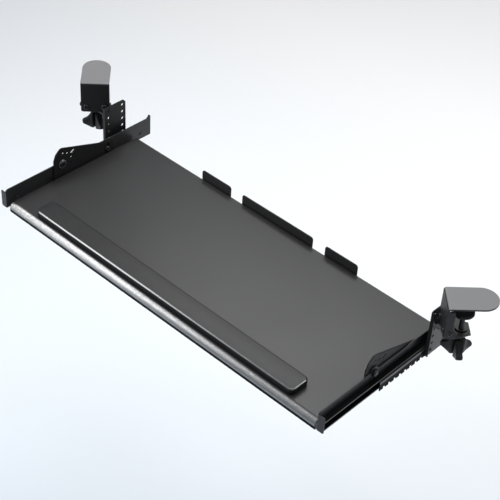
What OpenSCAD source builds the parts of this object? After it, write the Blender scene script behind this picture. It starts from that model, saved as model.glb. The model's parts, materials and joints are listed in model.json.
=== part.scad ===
// Clamp-on keyboard tray that hangs under a desk, slides out on two ball slides and tilts.
// Millimetres, +Z up. The origin is the middle of the board's top face.
// The user sits on the -Y side. Each side piece is drawn on the +X side and mirrored for the left.

/* [Board] */
// Width of the board, side to side
board_w = 686; // [560:1:800]
// Depth of the board, front to back
board_d = 288; // [270:1:320]
// Thickness of the board
board_t = 20; // [16:0.5:22]
// Radius of the rounded front edge at the top
board_nose = 11; // [3:0.5:11]
// Radius of the front edge at the bottom
board_under = 4; // [1:0.5:6]

/* [Wrist rest] */
// Length of the wrist rest
rest_l = 576; // [400:1:600]
// Depth of the wrist rest, front to back
rest_d = 39; // [28:1:50]
// Height of the wrist rest at its crown
rest_h = 12.5; // [10:0.5:20]
// Corner radius of the wrist rest, seen from above
rest_r = 13; // [6:0.5:13]
// Distance from the board's front to the wrist rest
rest_back = 11; // [9:0.5:30]
// How far the crown stands over the pad's shoulders
rest_crown = 1.4; // [0.5:0.1:3]

/* [Rear stops] */
// Length of the middle stop
stop_mid_l = 160; // [100:1:180]
// Length of each outer stop
stop_side_l = 69; // [40:1:90]
// Gap between two stops
stop_gap = 27; // [15:1:50]
// Height of a stop over the board
stop_h = 18; // [10:0.5:30]
// Thickness of the stops' sheet
stop_t = 1.6; // [1.2:0.1:2.5]
// Width of a stop's foot under the board
stop_foot = 24; // [20:1:32]
// Corner radius at a stop's top
stop_r = 5; // [2:0.5:6]
// Gap between the board's rear edge and the stops
stop_off = 1.2; // [0.2:0.1:2]

/* [Side walls] */
// Height of a side wall
wall_h = 36.5; // [34:0.5:40]
// How far a side wall stands over the board
wall_up = 24.5; // [20:0.5:30]
// Length of a side wall
wall_l = 329; // [325:1:345]
// How far a side wall reaches in front of the board
wall_front = 2; // [1:0.5:4]
// Thickness of the side walls
wall_t = 2; // [1.5:0.1:2.5]
// Width of the lip at a wall's front end
lip_w = 10.5; // [8:0.5:12]
// Width of the lip at a wall's rear end
rear_lip_w = 8; // [5:0.5:9]
// Side gap between the board and the walls
wall_gap = 5.3; // [5.3:0.1:7]

/* [Tilt] */
// Distance of the tilt pivot behind the board's front
pivot_back = 118.5; // [112:0.5:125]
// Height of the tilt pivot over the board
pivot_up = 22.3; // [21:0.1:26]
// Radius of the pivot bolts
pivot_r = 3; // [2.5:0.1:4]
// Distance from the tilt pivot to the lock bolt
lock_reach = 104; // [90:0.5:112]
// Angle of the lock bolt under the pivot
lock_drop = 9; // [8:0.5:10]
// Radius of the lock bolts
lock_r = 3; // [2.5:0.1:3.5]
// Largest tilt each way, in degrees
tilt_max = 5; // [2:1:6]
// Height of the tilt ears over the pivot
ear_up = 32.2; // [28:0.1:36]
// Thickness of the tilt brackets
bracket_t = 2; // [1.5:0.1:2]
// Width of a tilt bracket's foot under the board
bracket_foot = 40; // [30:1:60]
// Radius of the ring of index holes
index_ring = 20.5; // [18:0.5:22]
// Radius of an index hole
index_r = 1.7; // [1:0.1:2.2]

/* [Slides] */
// Height of a slide's channel
channel_h = 18; // [16:0.5:20]
// Width of a slide's channel, out from the wall
channel_w = 8.2; // [8:0.1:8.4]
// Thickness of the channel's sheet
channel_t = 1.2; // [1:0.1:1.4]
// Length of a fixed rail
rail_l = 152; // [140:1:156]
// Distance from the board's middle forward to a fixed rail's front end
rail_front = 20; // [10:1:23]
// Height of a slide's channel over the bottom edge of the wall
channel_up = 2; // [0:0.5:3]
// How far a rail's toothed edge reaches under the slide's middle
rail_drop = 13; // [12:0.5:14]
// Number of notches in a rail's toothed edge
notch_n = 8; // [1:1:10]
// Distance from one notch to the next
notch_pitch = 12.6; // [10:0.1:14]
// Width of a notch
notch_w = 5; // [2:0.5:7]
// Depth of a notch
notch_h = 4; // [2:0.5:5]
// Radius of the slide's balls
ball_r = 1.2; // [1:0.05:1.3]
// Number of balls in each row
ball_n = 4; // [2:1:5]

/* [Hangers] */
// Width of a hanger plate, front to back
hanger_w = 48.5; // [46:0.5:50]
// Distance from the board's middle back to a hanger's front edge
hanger_back = 85.5; // [84:0.5:90]
// Height of a hanger plate's top over the board
hanger_up = 79; // [76:0.5:79]
// How far a hanger plate reaches under the board's top
hanger_down = 10; // [9:0.5:13]
// Thickness of the hanger plates
hanger_t = 2; // [1.5:0.1:2]
// Distance between two rows of holes
hole_pitch = 14.2; // [13:0.1:14.2]
// Distance between the two columns of holes
hole_span = 32; // [26:0.5:34]
// Radius of a hole
hole_r = 2.5; // [2:0.1:3]
// Height of the top row of holes over the board
hole_top = 70; // [68:0.5:72]

/* [Clamps] */
// Angle the clamps stand out at, for a corner desk
swivel = 45; // [0:1:45]
// Width of a clamp
clamp_w = 50; // [44:1:54]
// Height of the clamps' top over the board
clamp_up = 122; // [118:0.5:130]
// Height of a clamp's front plate
clamp_h = 58; // [54:0.5:62]
// Length of the tongue that lies on the desk
tongue_l = 78; // [70:1:100]
// Depth of a clamp's side flanges
side_flange = 12; // [8:0.5:13]
// Thickness of the clamps' sheet
clamp_t = 3; // [2:0.1:3]
// Thickness of the desk that the clamp is set to
desk_t = 18; // [12:0.5:28]
// How far the pads stand open under that desk
pad_open = 2; // [0.5:0.5:5]
// Distance from a clamp's front to its screw
screw_in = 30; // [29:0.5:31]
// Radius of the clamp screws
screw_r = 3.9; // [3:0.1:4]
// Radius of a clamp pad
pad_r = 16; // [12:0.5:18]
// Reach of a knob's arms from the screw
knob_r = 26; // [24:0.5:29]
// Height of a knob's hub
knob_h = 31; // [30:0.5:36]
// Radius of the swivel bushes
bush_r = 7; // [6:0.1:8]
// Thickness of the swivel arms
arm_t = 3; // [2:0.1:3.2]
// Distance from a hanger out to the clamp's screw
arm_reach = 40.7; // [40.5:0.1:46]

/* [Hidden] */

$fn = 48;
steel = "#26272a";
plated = "#8d9094";
plastic = "#161618";
rubber = "#1d1d1f";

// Clearances
run_gap = 0.06;
fit_gap = 0.1;
face_gap = 0.3;
soft_gap = 0.3;
eps = 0.01;

// Board and rest
front_y = -board_d/2;
rear_y = board_d/2;
under_z = -board_t;
rest_mid_y = front_y + rest_back + rest_d/2;

// Side walls
wall_in = board_w/2 + wall_gap;
wall_out = wall_in + wall_t;
wall_y0 = front_y - wall_front;
wall_y1 = wall_y0 + wall_l;
wall_z0 = wall_up - wall_h;
lip_t = 1.5;
lip_corner = 5;
rear_tab = 5.5;

// Tilt
pivot_y = front_y + pivot_back;
lock_y = pivot_y + lock_reach*cos(lock_drop);
lock_z = pivot_up - lock_reach*sin(lock_drop);
bracket_out = wall_in - face_gap;
bracket_in = bracket_out - bracket_t;
ear_front = 18.5;
bracket_y0 = pivot_y - ear_front;
bracket_y1 = lock_y + 16;
ear_slope = 0.331;
boss_r = 10;
head_r = 7.4;
head_t = 2.3;
lock_head_r = 5.4;
nut_r = 6.2;
nut_t = 4.6;
index_angles = [-17, 15, 55, 83];
index_slot_angle = 34;
index_slot = [25, 31];

// Slides
slide_z = wall_z0 + channel_up + channel_h/2;
race_h = channel_h/2 - channel_t;
arm_h = race_h - 2*ball_r - 2*face_gap;
arm_in = 3;
rail_out = channel_w + 1.7;
rail_t = 1.2;
rail_y0 = -rail_front;
rail_y1 = rail_y0 + rail_l;
notch_lead = 9;
notch_y0 = rail_y0 + notch_lead;
teeth_y1 = min(rail_y1, notch_y0 + notch_n*notch_pitch);
channel_gap = 2;
channel_y0 = wall_y0 + lip_t + channel_gap;
channel_y1 = wall_y1 - lip_t - channel_gap;
ball_s = 4.8;
cage_s = 1.7;
cage_t = 0.6;
cage_y0 = 8;
ball_pitch = 12;
cage_l = ball_pitch*ball_n + 2;
rivet_r = 1.6;

// Hangers and rail brackets
hanger_in = wall_out + rail_out + face_gap;
hanger_out = hanger_in + hanger_t;
hanger_y0 = hanger_back;
hanger_y1 = hanger_back + hanger_w;
hanger_flange = 4;
hole_y = hanger_y0 + 9;
hole_rows = 5;
leg_t = 2;
leg_front = 2.3;
leg_w = 40;
leg_step = 12;
leg_slope = 34;
leg_up = leg_step + leg_slope;
rail_bolt_r = 2;
rail_bolt_head_r = 3.1;
rail_bolt_head_t = 1.4;

// Swivel arms
screw_x = hanger_out + arm_reach;
screw_y = 103.2;
clamp_z0 = clamp_up - clamp_h;
arm_z1 = clamp_z0 - 3;
arm_z0 = arm_z1 - arm_t;
arm_ring = 14;
arm_y0 = hanger_y0 + 6;
arm_y1 = hanger_y0 + 38;
arm_tab_y0 = hole_y + 4;
arm_tab_w = hole_span - 8;
arm_tab_z0 = leg_up + 1.5;
bush_head_r = 9.5;
bush_head_t = 2.2;
bush_nut_t = 3;
bush_nut_r = 11;

// Clamps
tongue_z0 = clamp_up - clamp_t;
desk_under = tongue_z0 - desk_t;
flange_low = 4;
flange_top = tongue_z0 - flange_low;
flange_z0 = clamp_z0 + 2;
clamp_corner = 3;
jaw_z0 = arm_z1 + face_gap;
jaw_t = 2.4;
jaw_w = clamp_w - 2*clamp_t - 2*fit_gap;
jaw_end = 13;
wing_h = 24;
wing_l = 15;
wing_t = 2;
jaw_bolt_x = 15.8;
jaw_bolt_z = clamp_z0 + 9.4;
side_bolt_y = 8;
side_bolt_z = clamp_z0 + 10.5;
jaw_bolt_r = 2;
jaw_head_r = 5.2;
jaw_head_t = 2;
side_head_r = 3.8;
side_head_t = 2.4;
pad_t = 2.6;
pad_rubber_t = 2.4;
knob_top = 45;
knob_hub = 9.5;
knob_tip_up = 9;
knob_tip_t = 5;
knob_bite = 26.5;

module sided(left) {
    if (left) mirror([1, 0, 0]) children();
    else children();
}

module both_sides() {
    for (left = [false, true]) sided(left) children();
}

// A box given by its two corners
module block(a, b) {
    translate(a) cube(b - a);
}

// A cylinder along X from x0 to x1
module rod_x(x0, x1, y, z, r) {
    translate([x0, y, z]) rotate([0, 90, 0]) cylinder(h = x1 - x0, r = r);
}

// A sheet in the YZ plane between x0 and x1, from an outline drawn as [y, z]
module sheet_yz(x0, x1) {
    translate([x0, 0, 0]) rotate([90, 0, 90]) linear_extrude(x1 - x0) children();
}

// Points of an arc in a plane, from angle a0 to a1
function arc(c, r, a0, a1, n = 8) =
    [for (i = [0:n]) c + r*[cos(a0 + (a1 - a0)*i/n), sin(a0 + (a1 - a0)*i/n)]];

// A polar point round the tilt pivot, as [y, z]
function round_pivot(r, a) = [pivot_y + r*cos(a), pivot_up + r*sin(a)];

// A slot in a plane with round ends, between two points
module slot_2d(a, b, r) {
    d = b - a;
    n = [-d[1], d[0]]/norm(d)*r;
    polygon([a + n, a - n, b - n, b + n]);
    for (p = [a, b]) translate(p) circle(r);
}

// Board

module board() {
    color("#333335")
    rotate([90, 0, 90]) translate([0, 0, -board_w/2]) linear_extrude(board_w)
        polygon(concat(
            [[rear_y, 0]],
            arc([front_y + board_nose, -board_nose], board_nose, 90, 180, 10),
            arc([front_y + board_under, under_z + board_under], board_under, 180, 270, 6),
            [[rear_y, under_z]]));
}

// Points of a rounded rectangle of half sizes a and b, with corner radius r, at one height
function ring(a, b, r, z, n = 10) =
    [for (q = [0:3]) for (i = [0:n])
        let (sx = (q == 0 || q == 3) ? 1 : -1, sy = q < 2 ? 1 : -1, t = 90*q + 90*i/n)
        [sx*(a - r) + r*cos(t), sy*(b - r) + r*sin(t), z]];

// The pad: sides drawn in at the foot, full at the waist, and a crowned top
module wrist_rest() {
    shoulder = rest_h - rest_crown;
    rings = [
        [1.2, soft_gap], [0.3, 2.5], [0, shoulder*0.5], [0.6, shoulder*0.8],
        [2.2, shoulder*0.97], [5, shoulder + rest_crown*0.4], [10, rest_h]];
    count = 44;
    pts = [for (s = rings) for (p = ring(rest_l/2 - s[0], rest_d/2 - s[0],
        max(rest_r - s[0], 1.5), s[1])) p + [0, rest_mid_y, 0]];
    top = len(rings) - 1;
    sides = [for (k = [0:top - 1]) for (i = [0:count - 1])
        let (j = (i + 1) % count, a = k*count)
        each [[a + i, a + count + i, a + j], [a + j, a + count + i, a + count + j]]];
    foot = [for (i = [1:count - 2]) [0, i, i + 1]];
    lid = [for (i = [1:count - 2]) [top*count, top*count + i + 1, top*count + i]];
    color("#2b2b2d") polyhedron(concat(pts), concat(sides, foot, lid));
}

// A bent stop with its foot under the board, standing at the board's rear edge
module rear_stop(x, l) {
    y0 = rear_y + stop_off;
    z0 = under_z - stop_t - fit_gap;
    color(steel) {
        translate([x, y0 + stop_t, 0]) rotate([90, 0, 0]) linear_extrude(stop_t)
            polygon(concat(
                [[-l/2, z0], [l/2, z0]],
                arc([l/2 - stop_r, stop_h - stop_r], stop_r, 0, 90),
                arc([-l/2 + stop_r, stop_h - stop_r], stop_r, 90, 180)));
        difference() {
            block([x - l/2, y0 + stop_t - stop_foot, z0], [x + l/2, y0 + eps, z0 + stop_t]);
            for (dx = stop_screw_xs(l))
                translate([x + dx, stop_screw_y(), z0 - 1])
                    cylinder(h = stop_t + 2, r = board_screw_r + fit_gap);
        }
    }
}

function stop_screw_xs(l) = [-l/2 + 12, l/2 - 12];
function stop_screw_y() = rear_y - stop_foot/2;
stop_side_x = stop_mid_l/2 + stop_gap + stop_side_l/2;
board_screw_r = 1.8;
board_screw_head = 3.6;
board_screw_head_t = 1.6;

// A pan-head screw that holds a sheet to the board's underside, seen from below
module board_screw(x, y, sheet_z) {
    translate([x, y, sheet_z - board_screw_head_t]) cylinder(h = board_screw_head_t, r = board_screw_head);
    translate([x, y, sheet_z - eps]) cylinder(h = under_z - sheet_z + eps, r = board_screw_r);
}

module stop_left() { rear_stop(-stop_side_x, stop_side_l); }
module stop_middle() { rear_stop(0, stop_mid_l); }
module stop_right() { rear_stop(stop_side_x, stop_side_l); }

module stop_screws() {
    z = under_z - stop_t - fit_gap;
    color(plated)
    for (s = [[-stop_side_x, stop_side_l], [0, stop_mid_l], [stop_side_x, stop_side_l]])
        for (dx = stop_screw_xs(s[1])) board_screw(s[0] + dx, stop_screw_y(), z);
}

// Tilt brackets

// Holes of the index ring and the radial slot, shared by the ear of the wall and of the bracket
module index_holes_2d() {
    for (a = index_angles) translate(round_pivot(index_ring, a)) circle(index_r);
    slot_2d(round_pivot(index_slot[0], index_slot_angle),
        round_pivot(index_slot[1], index_slot_angle), index_r);
}

// The curved slot that the lock bolt runs in
module lock_slot_2d(r) {
    steps = 10;
    a0 = -lock_drop - tilt_max;
    a1 = -lock_drop + tilt_max;
    polygon(concat(
        [for (i = [0:steps]) round_pivot(lock_reach + r, a0 + (a1 - a0)*i/steps)],
        [for (i = [0:steps]) round_pivot(lock_reach - r, a1 + (a0 - a1)*i/steps)]));
    for (a = [a0, a1]) translate(round_pivot(lock_reach, a)) circle(r);
}

function bracket_screw_xs() = [wall_in - bracket_foot + 8, board_w/2 - 12];
function bracket_screw_ys() = [bracket_y0 + 12, bracket_y1 - 12];

module tilt_bracket() {
    foot_z = under_z - bracket_t - fit_gap;
    top = pivot_up + ear_up;
    color(steel) {
        sheet_yz(bracket_in, bracket_out) difference() {
            polygon([[bracket_y0, foot_z], [bracket_y1, foot_z],
                [bracket_y1, top - ear_slope*(bracket_y1 - pivot_y)], [pivot_y + 1, top],
                [pivot_y - 2.5, top], [pivot_y - 5.5, top - 1.5], [pivot_y - 13.5, top - 8.5],
                [bracket_y0, top - 20.5]]);
            translate([pivot_y, pivot_up]) circle(pivot_r + run_gap);
            index_holes_2d();
            lock_slot_2d(lock_r + fit_gap);
        }
        difference() {
            block([wall_in - bracket_foot, bracket_y0, foot_z],
                [bracket_in + eps, bracket_y1, foot_z + bracket_t]);
            for (x = bracket_screw_xs(), y = bracket_screw_ys())
                translate([x, y, foot_z - 1]) cylinder(h = bracket_t + 2, r = board_screw_r + fit_gap);
        }
    }
}

module left_tilt_bracket() { sided(true) tilt_bracket(); }
module right_tilt_bracket() { sided(false) tilt_bracket(); }

module tilt_bracket_screws() {
    z = under_z - bracket_t - fit_gap;
    color(plated) both_sides() for (x = bracket_screw_xs(), y = bracket_screw_ys()) board_screw(x, y, z);
}

// Side walls

module side_wall() {
    color(steel) {
        sheet_yz(wall_in, wall_out) difference() {
            union() {
                polygon(concat(
                    [[wall_y0, wall_z0], [wall_y1, wall_z0], [wall_y1, wall_up + rear_tab - 2],
                     [wall_y1 - 2, wall_up + rear_tab], [wall_y1 - 4.5, wall_up + rear_tab],
                     [wall_y1 - 7, wall_up]],
                    arc([wall_y0 + lip_corner, wall_up - lip_corner], lip_corner, 90, 180, 5)));
                translate([pivot_y, pivot_up]) circle(boss_r);
            }
            translate([pivot_y, pivot_up]) circle(pivot_r + fit_gap);
            translate([lock_y, lock_z]) circle(lock_r + fit_gap);
            for (y = channel_rivet_ys()) translate([y, slide_z]) circle(rivet_r + fit_gap);
        }
        end_lip(wall_y0, lip_w);
        end_lip(wall_y1 - lip_t, rear_lip_w);
    }
}

// A lip bent outwards across the end of a wall
module end_lip(y, w) {
    top = wall_up - lip_corner;
    translate([wall_out, y + lip_t, 0]) rotate([90, 0, 0]) linear_extrude(lip_t)
        polygon([[-eps, wall_z0], [w - 2, wall_z0], [w, wall_z0 + 2],
            [w, top - 1], [w - 1, top], [-eps, top]]);
}

function channel_rivet_ys() = [channel_y0 + 20, pivot_y + 40, channel_y1 - 20.5];

module left_side_wall() { sided(true) side_wall(); }
module right_side_wall() { sided(false) side_wall(); }

// The pivot bolt: a broad head inside, and its shank out through the bracket and the wall
module pivot_bolt() {
    color(plated) {
        difference() {
            rod_x(bracket_in - face_gap - head_t, bracket_in - face_gap, pivot_y, pivot_up, head_r);
            rod_x(bracket_in - face_gap - head_t - 1, bracket_in - face_gap - head_t + 1.4,
                pivot_y, pivot_up, head_r*0.4, $fn = 6);
        }
        rod_x(bracket_in - face_gap - eps, wall_out + nut_t + 0.6, pivot_y, pivot_up, pivot_r);
    }
}

module left_pivot_bolt() { sided(true) pivot_bolt(); }
module right_pivot_bolt() { sided(false) pivot_bolt(); }

module pivot_nuts() {
    color(plated) both_sides() difference() {
        rod_x(wall_out + fit_gap, wall_out + nut_t, pivot_y, pivot_up, nut_r, $fn = 6);
        rod_x(wall_out, wall_out + nut_t + 1, pivot_y, pivot_up, pivot_r + fit_gap);
    }
}

// The lock bolts: a head inside, and a shank that ends flush with the wall
module lock_bolts() {
    color(plated) both_sides() {
        difference() {
            rod_x(bracket_in - face_gap - head_t, bracket_in - face_gap, lock_y, lock_z, lock_head_r);
            rod_x(bracket_in - face_gap - head_t - 1, bracket_in - face_gap - head_t + 1.4,
                lock_y, lock_z, lock_head_r*0.4, $fn = 6);
        }
        rod_x(bracket_in - face_gap - eps, wall_out, lock_y, lock_z, lock_r);
    }
}

// Slides

// The moving channel's cross-section, as [out from the wall, up from the slide's middle]
module channel_2d() {
    h = channel_h/2;
    difference() {
        translate([fit_gap, -h]) square([channel_w - fit_gap, channel_h]);
        translate([channel_t + fit_gap, -h + channel_t])
            square([channel_w - 2*channel_t - fit_gap, channel_h - 2*channel_t]);
        translate([channel_t + fit_gap, -h + 2*channel_t])
            square([channel_w, channel_h - 4*channel_t]);
    }
}

// The fixed rail's cross-section
module rail_2d() {
    translate([arm_in, -arm_h]) difference() {
        square([rail_out - arm_in, 2*arm_h]);
        translate([-1, rail_t]) square([rail_out - arm_in - rail_t + 1, 2*arm_h - 2*rail_t]);
    }
}

// The ball cage's cross-section
module cage_2d() {
    translate([cage_s, -ball_mid() - cage_t/2]) difference() {
        square([channel_w - channel_t - cage_s - 0.3, 2*ball_mid() + cage_t]);
        translate([cage_t, cage_t]) square([channel_w, 2*ball_mid() - cage_t]);
    }
}

function ball_mid() = race_h - ball_r - face_gap;

// Sweeps a slide section along Y at the right-hand wall
module along_slide(y0, y1) {
    translate([wall_out, y1, slide_z]) rotate([90, 0, 0]) linear_extrude(y1 - y0) children();
}

module slide_channel() {
    color(plated) difference() {
        along_slide(channel_y0, channel_y1) channel_2d();
        for (y = channel_rivet_ys())
            rod_x(wall_out - 1, wall_out + channel_t + 1, y, slide_z, rivet_r + fit_gap);
    }
}

module left_slide_channel() { sided(true) slide_channel(); }
module right_slide_channel() { sided(false) slide_channel(); }

module channel_rivets() {
    color(plated) both_sides() for (y = channel_rivet_ys()) {
        rod_x(wall_in - fit_gap, wall_out + channel_t + fit_gap, y, slide_z, rivet_r);
        rod_x(wall_in - 0.25, wall_in - fit_gap + eps, y, slide_z, rivet_r*1.9);
    }
}

function ball_y(k) = cage_y0 + 1 + ball_pitch*(k + 0.5);

module ball_cage() {
    color(plated) difference() {
        along_slide(cage_y0, cage_y0 + cage_l) cage_2d();
        for (k = [0:ball_n - 1], s = [-1, 1])
            translate([wall_out + ball_s, ball_y(k), slide_z + s*ball_mid() - 2])
                cylinder(h = 4, r = ball_r + fit_gap, $fn = 24);
    }
}

module left_ball_cage() { sided(true) ball_cage(); }
module right_ball_cage() { sided(false) ball_cage(); }

module slide_balls() {
    color("#c6c9cc") both_sides() for (k = [0:ball_n - 1], s = [-1, 1])
        translate([wall_out + ball_s, ball_y(k), slide_z + s*ball_mid()]) sphere(ball_r, $fn = 24);
}

function rail_bolt_ys() = [hole_y, hole_y + hole_span];

// The rail, with its web carried down as a toothed edge along the front stretch
module fixed_rail() {
    web = rail_out - rail_t;
    color(plated) difference() {
        union() {
            along_slide(rail_y0, rail_y1) rail_2d();
            along_slide(rail_y0, teeth_y1)
                translate([web, -rail_drop]) square([rail_t, rail_drop - arm_h + eps]);
        }
        for (y = rail_bolt_ys())
            rod_x(wall_out + rail_out - 3, wall_out + rail_out + 1, y, slide_z, rail_bolt_r + fit_gap);
        for (k = [0:notch_n - 1])
            translate([wall_out + web - 1, notch_y0 + notch_pitch*k, slide_z - rail_drop - 1])
                cube([rail_t + 2, notch_w, notch_h + 1]);
    }
}

module left_fixed_rail() { sided(true) fixed_rail(); }
module right_fixed_rail() { sided(false) fixed_rail(); }

// Bolts through the rail, the hanger and the rail bracket, with a flat head at each end
module rail_bolts() {
    x0 = wall_out + rail_out - rail_t - fit_gap;
    x1 = hanger_out + fit_gap + leg_t + fit_gap;
    color(plated) both_sides() for (y = rail_bolt_ys()) {
        rod_x(x0 - eps, x1 + eps, y, slide_z, rail_bolt_r);
        rod_x(x0 - rail_bolt_head_t, x0, y, slide_z, rail_bolt_head_r);
        rod_x(x1, x1 + rail_bolt_head_t, y, slide_z, rail_bolt_head_r);
    }
}

// Rail brackets and hangers

function hole_z(row) = hole_top - hole_pitch*row;

// A plate outside the hanger, with a sloped top, that the rail is bolted through to
module rail_bracket() {
    x0 = hanger_out + fit_gap;
    y0 = hanger_y0 + leg_front;
    z0 = -hanger_down;
    color(steel) sheet_yz(x0, x0 + leg_t) difference() {
        polygon([[y0, z0], [y0 + leg_w - 2, z0], [y0 + leg_w, z0 + 2], [y0 + leg_w, leg_step],
            [y0 + leg_w - leg_slope, leg_up], [y0 + 2, leg_up], [y0, leg_up - 2]]);
        hanger_holes_2d();
        for (y = rail_bolt_ys()) translate([y, slide_z]) circle(rail_bolt_r + fit_gap);
    }
}

module hanger_holes_2d() {
    for (row = [0:hole_rows - 1], y = rail_bolt_ys()) translate([y, hole_z(row)]) circle(hole_r);
}

module left_rail_bracket() { sided(true) rail_bracket(); }
module right_rail_bracket() { sided(false) rail_bracket(); }

module hanger_plate() {
    chamfer = 5;
    color(steel) {
        sheet_yz(hanger_in, hanger_out) difference() {
            polygon([[hanger_y0, -hanger_down], [hanger_y1, -hanger_down], [hanger_y1, hanger_up - chamfer],
                [hanger_y1 - chamfer, hanger_up], [hanger_y0 + 2, hanger_up], [hanger_y0, hanger_up - 2]]);
            hanger_holes_2d();
            for (y = rail_bolt_ys()) translate([y, slide_z]) circle(rail_bolt_r + fit_gap);
        }
        // flange along the front edge, bent outwards
        block([hanger_out - eps, hanger_y0, -hanger_down],
            [hanger_out + hanger_flange, hanger_y0 + hanger_t, hanger_up - 2]);
    }
}

module left_hanger_plate() { sided(true) hanger_plate(); }
module right_hanger_plate() { sided(false) hanger_plate(); }

// The arm that carries a clamp: a level plate with a ring for the bush, and a tab on the hanger
module swivel_arm() {
    x0 = hanger_out + fit_gap;
    color(steel) {
        translate([0, 0, arm_z0]) linear_extrude(arm_t) difference() {
            union() {
                polygon([[x0, arm_y0], [x0, arm_y1],
                    [screw_x, screw_y + arm_ring], [screw_x, screw_y - arm_ring]]);
                translate([screw_x, screw_y]) circle(arm_ring);
            }
            translate([screw_x, screw_y]) circle(bush_r + run_gap);
        }
        block([x0, arm_tab_y0, arm_tab_z0], [x0 + arm_t, arm_tab_y0 + arm_tab_w, arm_z0 + eps]);
    }
}

module left_swivel_arm() { sided(true) swivel_arm(); }
module right_swivel_arm() { sided(false) swivel_arm(); }

// Clamps, drawn with the front plate on the XZ plane and the desk towards +Y

module at_clamp() {
    translate([screw_x, screw_y, 0]) rotate([0, 0, -swivel]) translate([0, -screw_in, 0]) children();
}

// A hole or bolt along the clamp's Y, from y0 to y1
module rod_y(x, z, y0, y1, r) {
    translate([x, y0, z]) rotate([-90, 0, 0]) cylinder(h = y1 - y0, r = r);
}

module clamp_bracket() {
    hw = clamp_w/2;
    bend = clamp_t + 1;
    color(steel) at_clamp() {
        // tongue with a round end
        translate([0, 0, tongue_z0]) linear_extrude(clamp_t) {
            translate([-hw, bend]) square([clamp_w, tongue_l - hw - bend]);
            intersection() {
                translate([0, tongue_l - hw]) circle(hw, $fn = 96);
                translate([-hw, tongue_l - hw - eps]) square([clamp_w, clamp_w]);
            }
        }
        // round bend between the tongue and the front plate
        intersection() {
            translate([-hw, bend, clamp_up - bend]) rotate([0, 90, 0]) difference() {
                cylinder(h = clamp_w, r = bend);
                translate([0, 0, -1]) cylinder(h = clamp_w + 2, r = bend - clamp_t);
            }
            block([-hw, 0, clamp_up - bend], [hw, bend + eps, clamp_up]);
        }
        // front plate
        difference() {
            translate([0, clamp_t, 0]) rotate([90, 0, 0]) linear_extrude(clamp_t)
                polygon(concat(
                    [[hw, clamp_up - bend], [-hw, clamp_up - bend]],
                    arc([-hw + clamp_corner, clamp_z0 + clamp_corner], clamp_corner, 180, 270, 5),
                    arc([hw - clamp_corner, clamp_z0 + clamp_corner], clamp_corner, 270, 360, 5)));
            for (x = [-jaw_bolt_x, jaw_bolt_x]) rod_y(x, jaw_bolt_z, -1, clamp_t + 1, jaw_bolt_r + fit_gap);
        }
        // side flanges
        for (x = [-hw, hw - clamp_t]) difference() {
            translate([x, 0, 0]) rotate([90, 0, 90]) linear_extrude(clamp_t)
                polygon([[clamp_t - eps, flange_z0 + 1], [side_flange - 2, flange_z0],
                    [side_flange, flange_z0 + 2], [side_flange, flange_top - 2],
                    [side_flange - 2, flange_top], [clamp_t - eps, flange_top]]);
            rod_x(x - 1, x + clamp_t + 1, side_bolt_y, side_bolt_z, jaw_bolt_r + fit_gap);
        }
    }
}

module left_clamp_bracket() { sided(true) clamp_bracket(); }
module right_clamp_bracket() { sided(false) clamp_bracket(); }

// The lower jaw: an upright behind the front plate, a shelf that turns on the arm, and two wings
module lower_jaw() {
    y0 = clamp_t + fit_gap;
    hw = jaw_w/2;
    color(steel) at_clamp() {
        difference() {
            union() {
                block([-hw, y0, jaw_z0], [hw, y0 + jaw_t, jaw_z0 + wing_h]);
                translate([0, 0, jaw_z0]) linear_extrude(jaw_t)
                    polygon([[-hw, y0], [hw, y0], [hw, y0 + wing_l], [jaw_end, screw_in + jaw_end],
                        [-jaw_end, screw_in + jaw_end], [-hw, y0 + wing_l]]);
            }
            translate([0, screw_in, jaw_z0 - 1]) cylinder(h = jaw_t + 2, r = bush_r + fit_gap);
            for (x = [-jaw_bolt_x, jaw_bolt_x])
                rod_y(x, jaw_bolt_z, 0, y0 + jaw_t + 1, jaw_bolt_r + fit_gap);
        }
        for (x = [-hw, hw - wing_t]) difference() {
            translate([x, 0, 0]) rotate([90, 0, 90]) linear_extrude(wing_t)
                polygon([[y0 + jaw_t - eps, jaw_z0 + jaw_t - eps], [y0 + wing_l, jaw_z0 + jaw_t - eps],
                    [y0 + wing_l, jaw_z0 + jaw_t + 5], [side_bolt_y + 4, jaw_z0 + wing_h],
                    [y0 + jaw_t - eps, jaw_z0 + wing_h]]);
            rod_x(x - 1, x + wing_t + 1, side_bolt_y, side_bolt_z, jaw_bolt_r + fit_gap);
        }
    }
}

module left_lower_jaw() { sided(true) lower_jaw(); }
module right_lower_jaw() { sided(false) lower_jaw(); }

// Two bolts through the front plate and one through each side flange
module jaw_bolts() {
    hw = clamp_w/2;
    inner = jaw_w/2 - wing_t;
    color(plated) at_clamp() {
        for (x = [-jaw_bolt_x, jaw_bolt_x]) {
            difference() {
                rod_y(x, jaw_bolt_z, -fit_gap - jaw_head_t, -fit_gap, jaw_head_r);
                rod_y(x, jaw_bolt_z, -fit_gap - jaw_head_t - 1, -fit_gap - 1, jaw_head_r*0.4, $fn = 6);
            }
            rod_y(x, jaw_bolt_z, -fit_gap - eps, clamp_t + jaw_t + 2*fit_gap, jaw_bolt_r);
        }
        for (side = [0, 1]) mirror([side, 0, 0]) {
            rod_x(inner, hw + fit_gap + eps, side_bolt_y, side_bolt_z, jaw_bolt_r);
            rod_x(hw + fit_gap, hw + fit_gap + side_head_t, side_bolt_y, side_bolt_z, side_head_r);
        }
    }
}

module left_jaw_bolts() { sided(true) jaw_bolts(); }
module right_jaw_bolts() { sided(false) jaw_bolts(); }

module at_screw() { at_clamp() translate([0, screw_in, 0]) children(); }

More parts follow.
